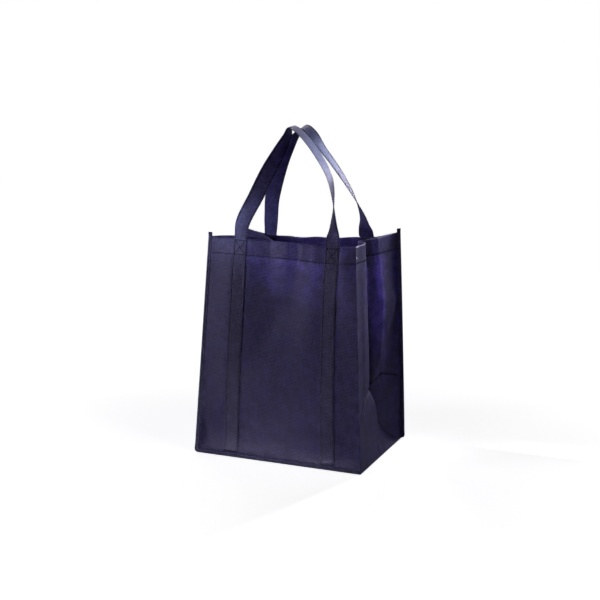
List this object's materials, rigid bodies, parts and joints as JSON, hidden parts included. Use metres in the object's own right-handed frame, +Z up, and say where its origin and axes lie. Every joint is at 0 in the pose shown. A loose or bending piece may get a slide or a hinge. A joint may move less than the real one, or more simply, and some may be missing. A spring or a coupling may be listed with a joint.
{
  "type": "non-woven shopping bag",
  "caption": "Standing non-woven cloth shopping bag with folded gussets, bound seams, sewn strap handles and a base board.",
  "frame": {"origin": "middle of the flat bottom, on its underside", "axes": "+X to the right seen from the front, the front panel faces -Y, +Z up out of the mouth"},
  "size_m": [0.3196, 0.2243, 0.5717],
  "materials": {
    "cloth": "embossed non-woven, slight sheen",
    "tape": "folded non-woven tape",
    "strap": "doubled non-woven strap, slight sheen",
    "board": "plain sheet"
  },
  "bodies": {
    "root": {"bag_body": "cloth", "front_binding": "tape", "back_binding": "tape", "front_handle": "strap", "back_handle": "strap", "base_board": "board"}
  },
  "joints": []
}
